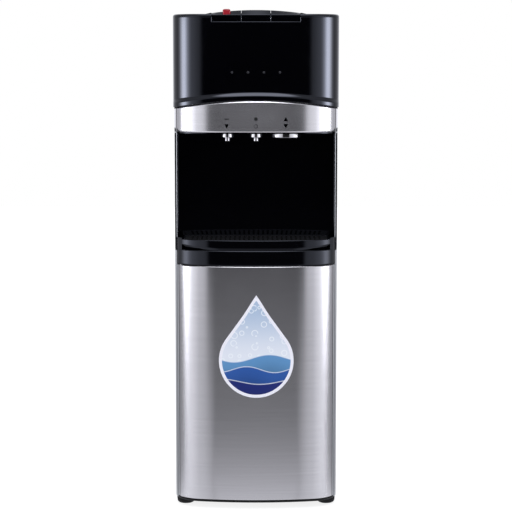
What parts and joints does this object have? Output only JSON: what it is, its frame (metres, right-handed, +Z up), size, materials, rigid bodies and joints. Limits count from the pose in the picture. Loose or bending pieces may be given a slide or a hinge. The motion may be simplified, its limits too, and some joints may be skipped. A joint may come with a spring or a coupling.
{
  "type": "water dispenser",
  "caption": "Free-standing water dispenser with bowed steel door, black tap niche, arched silver band, push keys, pull-out drip tray and ice chute.",
  "frame": {"origin": "middle of the floor footprint, under the feet", "axes": "+Z up, +X to the right seen from the front, front faces -Y"},
  "size_m": [0.352, 0.365, 1.062],
  "materials": {
    "base_plastic": "satin black moulding",
    "foot_rubber": "matte black rubber",
    "silver_paint": "silver-grey painted sheet",
    "rear_sheet": "black painted sheet",
    "screw_steel": "zinc-plated steel",
    "black_gloss": "polished black moulding",
    "black_matte": "fine-grained black moulding",
    "liner_plastic": "pale grey moulding",
    "white_plastic": "off-white moulding",
    "door_steel": "vertical brushed stainless sheet",
    "band_silver": "horizontal brushed silver with bright bevels",
    "chrome_trim": "polished chrome",
    "deck_steel": "galvanised sheet",
    "tank_steel": "stainless tank",
    "pin_steel": "bright steel rod",
    "magnet_dark": "dark magnet block",
    "compressor_paint": "black enamel",
    "fin_aluminium": "aluminium fins",
    "copper_drier": "copper",
    "hose_silicone": "milky silicone hose",
    "board_green": "green circuit board",
    "lens_clear": "smoked light pipe",
    "lock_red": "red moulding",
    "pump_black": "black pump body"
  },
  "bodies": {
    "cabinet": {"base_pan": "base_plastic", "base_feet": "foot_rubber", "side_panel_left": "silver_paint", "side_panel_right": "silver_paint", "rear_panel": "rear_sheet", "rear_panel_screws": "screw_steel", "power_inlet": "black_matte", "switch_housings": "black_matte", "drain_spigot": "white_plastic", "bottle_bay": "liner_plastic", "probe_holder": "white_plastic", "bottle_probe": "white_plastic", "water_lines": "hose_silicone", "deck_plate": "deck_steel", "lower_trim": "black_gloss", "niche_liner": "black_gloss", "tap_nozzles": "chrome_trim", "ice_chute_ring": "chrome_trim", "solenoid_valves": "white_plastic", "trim_band": "band_silver", "head_shell": "black_gloss", "indicator_lenses": "lens_clear", "control_board": "board_green", "top_cover": "black_gloss", "key_bezel": "black_gloss", "key_tray": "black_matte", "key_shaft": "pin_steel", "key_springs": "pin_steel", "microswitches": "black_matte", "door_hinge_pins": "pin_steel", "catch_magnet": "magnet_dark", "compressor": "compressor_paint", "compressor_grommets": "foot_rubber", "condenser": "fin_aluminium", "fan_shroud": "black_matte", "fan_motor": "pump_black", "hot_tank": "tank_steel", "water_pump": "pump_black", "drier": "copper_drier", "mid_deck": "deck_steel", "cold_tank": "tank_steel", "ice_bin": "white_plastic", "auger_motor": "pump_black", "ice_evaporator": "tank_steel"},
    "door": {"door_skin": "door_steel", "door_liner": "black_matte", "door_strike": "screw_steel"},
    "hot_key": {"hot_key": "black_gloss"},
    "cold_key": {"cold_key": "black_gloss"},
    "ice_key": {"ice_key": "black_gloss"},
    "child_lock": {"child_lock": "lock_red"},
    "drip_tray": {"drip_tray": "black_gloss"},
    "drip_grille": {"drip_grille": "black_matte"},
    "ice_flap": {"ice_flap": "black_matte"},
    "ice_water_tray": {"ice_water_tray": "white_plastic"},
    "ice_auger": {"ice_auger": "white_plastic"},
    "fan": {"fan_blade": "black_matte"},
    "hot_switch": {"hot_switch": "lock_red"},
    "cold_switch": {"cold_switch": "black_gloss"},
    "drain_cap": {"drain_cap": "white_plastic"}
  },
  "joints": [
    {"name": "door_hinge", "type": "hinge", "parent": "cabinet", "child": "door", "pos_m": [-0.159, -0.1395, 0.27], "axis": [0, 0, -1], "range_deg": [0, 110]},
    {"name": "hot_key_press", "type": "hinge", "parent": "cabinet", "child": "hot_key", "pos_m": [-0.0613, -0.1149, 1.042], "axis": [1, 0, 0], "range_deg": [0, 5], "stiffness_Nm_per_rad": 0.5, "springref_deg": -8.59},
    {"name": "cold_key_press", "type": "hinge", "parent": "cabinet", "child": "cold_key", "pos_m": [0, -0.1149, 1.042], "axis": [1, 0, 0], "range_deg": [0, 5], "stiffness_Nm_per_rad": 0.5, "springref_deg": -8.59},
    {"name": "ice_key_press", "type": "hinge", "parent": "cabinet", "child": "ice_key", "pos_m": [0.0613, -0.1149, 1.042], "axis": [1, 0, 0], "range_deg": [0, 5], "stiffness_Nm_per_rad": 0.5, "springref_deg": -8.59},
    {"name": "child_lock_slide", "type": "slide", "parent": "hot_key", "child": "child_lock", "axis": [0, 1, 0], "range_m": [0, 0.006]},
    {"name": "drip_tray_slide", "type": "slide", "parent": "cabinet", "child": "drip_tray", "axis": [0, -1, 0], "range_m": [0, 0.09]},
    {"name": "drip_grille_lift", "type": "slide", "parent": "drip_tray", "child": "drip_grille", "axis": [0, 0, 1], "range_m": [0, 0.06]},
    {"name": "ice_flap_hinge", "type": "hinge", "parent": "cabinet", "child": "ice_flap", "pos_m": [0.064, -0.1025, 0.795], "axis": [1, 0, 0], "range_deg": [0, 65], "stiffness_Nm_per_rad": 0.01, "springref_deg": -22.92},
    {"name": "ice_tray_tilt", "type": "hinge", "parent": "cabinet", "child": "ice_water_tray", "pos_m": [0.064, 0.126, 0.9765], "axis": [1, 0, 0], "range_deg": [0, 70]},
    {"name": "ice_auger_spin", "type": "hinge", "parent": "cabinet", "child": "ice_auger", "pos_m": [0.064, 0, 0.838], "axis": [0, 1, 0], "continuous": true},
    {"name": "fan_spin", "type": "hinge", "parent": "cabinet", "child": "fan", "pos_m": [0.092, 0.1447, 0.668], "axis": [0, 1, 0], "continuous": true},
    {"name": "hot_switch_rock", "type": "hinge", "parent": "cabinet", "child": "hot_switch", "pos_m": [0.096, 0.1732, 0.96], "axis": [1, 0, 0], "range_deg": [0, 16]},
    {"name": "cold_switch_rock", "type": "hinge", "parent": "cabinet", "child": "cold_switch", "pos_m": [0.13, 0.1732, 0.96], "axis": [1, 0, 0], "range_deg": [0, 16]},
    {"name": "drain_cap_pull", "type": "slide", "parent": "cabinet", "child": "drain_cap", "axis": [0, 1, 0], "range_m": [0, 0.025]}
  ]
}
